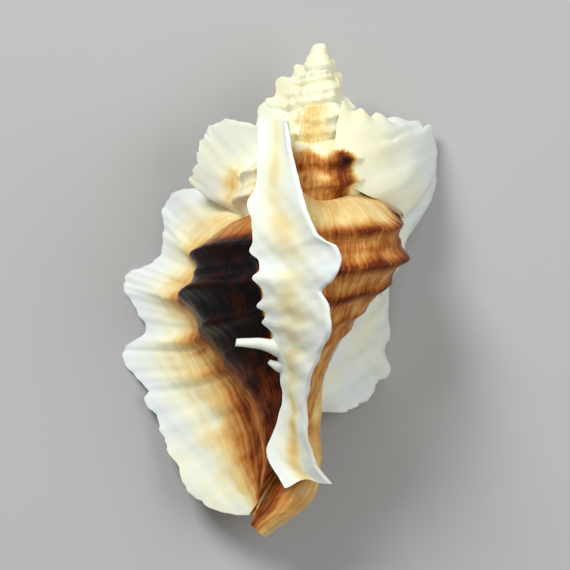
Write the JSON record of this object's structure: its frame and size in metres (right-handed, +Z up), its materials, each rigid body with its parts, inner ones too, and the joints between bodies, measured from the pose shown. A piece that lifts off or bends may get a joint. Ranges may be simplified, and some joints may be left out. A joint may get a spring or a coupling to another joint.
{
  "type": "murex shell",
  "caption": "Dried murex sea shell with a coiled, ridged body, scalloped wing-like fins, a pointed spire and a bent canal, lying with its opening down.",
  "frame": {"origin": "centre of the bounding box in X and Y, on the table that the shell lies on", "axes": "+Y along the coiling axis from the canal to the apex, +Z up from the table through the middle wing, +X to the wing on the right seen from above"},
  "size_m": [0.0458, 0.0722, 0.04],
  "materials": {
    "shell": "satin, glossy on the dark bands"
  },
  "bodies": {
    "root": {"shell": "shell"}
  },
  "joints": []
}
